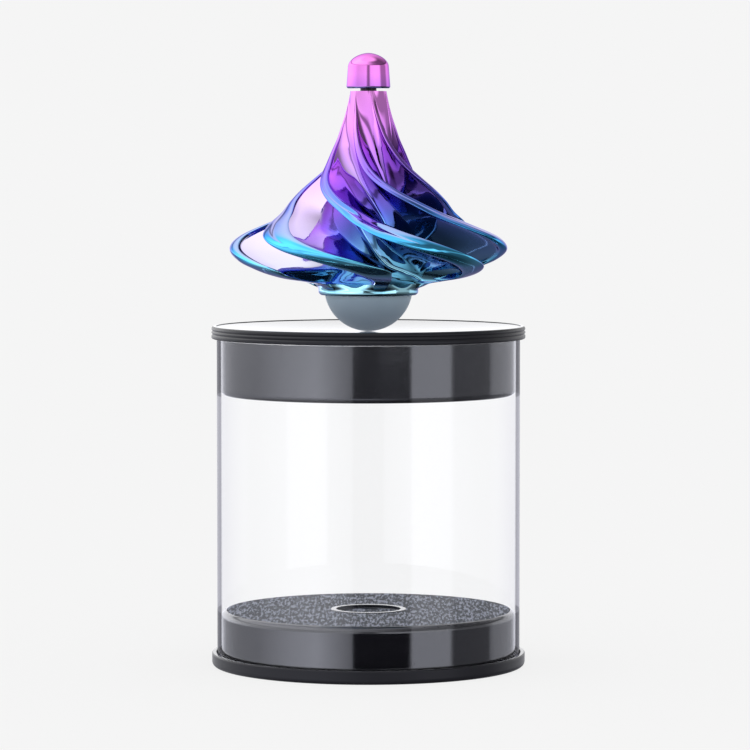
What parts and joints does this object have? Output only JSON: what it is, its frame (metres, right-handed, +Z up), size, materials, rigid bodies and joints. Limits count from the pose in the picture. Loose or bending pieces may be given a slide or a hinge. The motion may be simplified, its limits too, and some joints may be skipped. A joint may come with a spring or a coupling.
{
  "type": "light up spinning top",
  "caption": "Spinning top with spiral blades that turn on a shaft, a finger knob and a light-up ball foot, standing on the lid of its clear round storage case.",
  "frame": {"origin": "centre of the storage case's underside", "axes": "+Z up along the axis of the case, the shaft and the rotor; -Y is the front"},
  "size_m": [0.0622, 0.0622, 0.1212],
  "materials": {
    "case_black": "gloss black moulding",
    "case_clear": "clear extruded tube",
    "ball_frost": "frosted translucent",
    "plated_rotor": "mirror plated, pink at the neck through violet to blue at the rims",
    "hub_plastic": "moulded grey",
    "plated_knob": "mirror plated pink violet",
    "carrier_plastic": "moulded natural white",
    "board": "green solder mask",
    "led_body": "clear lens over a yellow die",
    "chip_blob": "black resin",
    "contact_brass": "bright drawn wire",
    "cell_steel": "turned can",
    "spring_steel": "pressed sheet",
    "shaft_steel": "ground",
    "bearing_steel": "polished",
    "cage_brass": "pressed",
    "washer_black": "moulded nylon",
    "bush_brass": "turned"
  },
  "bodies": {
    "base": {"case_base": "case_black"},
    "tube": {"case_tube": "case_clear"},
    "lid": {"case_lid": "case_black"},
    "core": {"ball_dome": "ball_frost", "core_carrier": "carrier_plastic", "led_board": "board", "leds": "led_body", "flash_chip": "chip_blob", "switch_spring": "contact_brass", "switch_pin": "contact_brass", "coin_cell": "cell_steel", "battery_clip": "spring_steel", "shaft": "shaft_steel", "shaft_clip": "spring_steel", "knob_washer": "washer_black", "finger_knob": "plated_knob", "lower_inner_race": "bearing_steel", "upper_inner_race": "bearing_steel"},
    "rotor": {"rotor": "plated_rotor", "bearing_hub": "hub_plastic", "neck_bush": "bush_brass", "bearing_retainer": "spring_steel", "lower_outer_race": "bearing_steel", "lower_shields": "spring_steel", "upper_outer_race": "bearing_steel", "upper_shields": "spring_steel"},
    "lower_ball_set": {"lower_balls": "bearing_steel", "lower_cage": "cage_brass"},
    "upper_ball_set": {"upper_balls": "bearing_steel", "upper_cage": "cage_brass"}
  },
  "joints": [
    {"name": "tube_lift", "type": "slide", "parent": "base", "child": "tube", "axis": [0, 0, 1], "range_m": [0, 0.02]},
    {"name": "lid_lift", "type": "slide", "parent": "tube", "child": "lid", "axis": [0, 0, 1], "range_m": [0, 0.03]},
    {"name": "top_lift", "type": "slide", "parent": "lid", "child": "core", "axis": [0, 0, 1], "range_m": [0, 0.06]},
    {"name": "rotor_spin", "type": "hinge", "parent": "core", "child": "rotor", "pos_m": [0, 0, 0.07862], "axis": [0, 0, 1], "continuous": true},
    {"name": "lower_balls_spin", "type": "hinge", "parent": "core", "child": "lower_ball_set", "pos_m": [0, 0, 0.07862], "axis": [0, 0, 1], "continuous": true},
    {"name": "upper_balls_spin", "type": "hinge", "parent": "core", "child": "upper_ball_set", "pos_m": [0, 0, 0.11187], "axis": [0, 0, 1], "continuous": true}
  ],
  "couplings": [
    {"joint": "lower_balls_spin", "follows": "rotor_spin", "ratio": 0.64364},
    {"joint": "upper_balls_spin", "follows": "rotor_spin", "ratio": 0.64286}
  ]
}
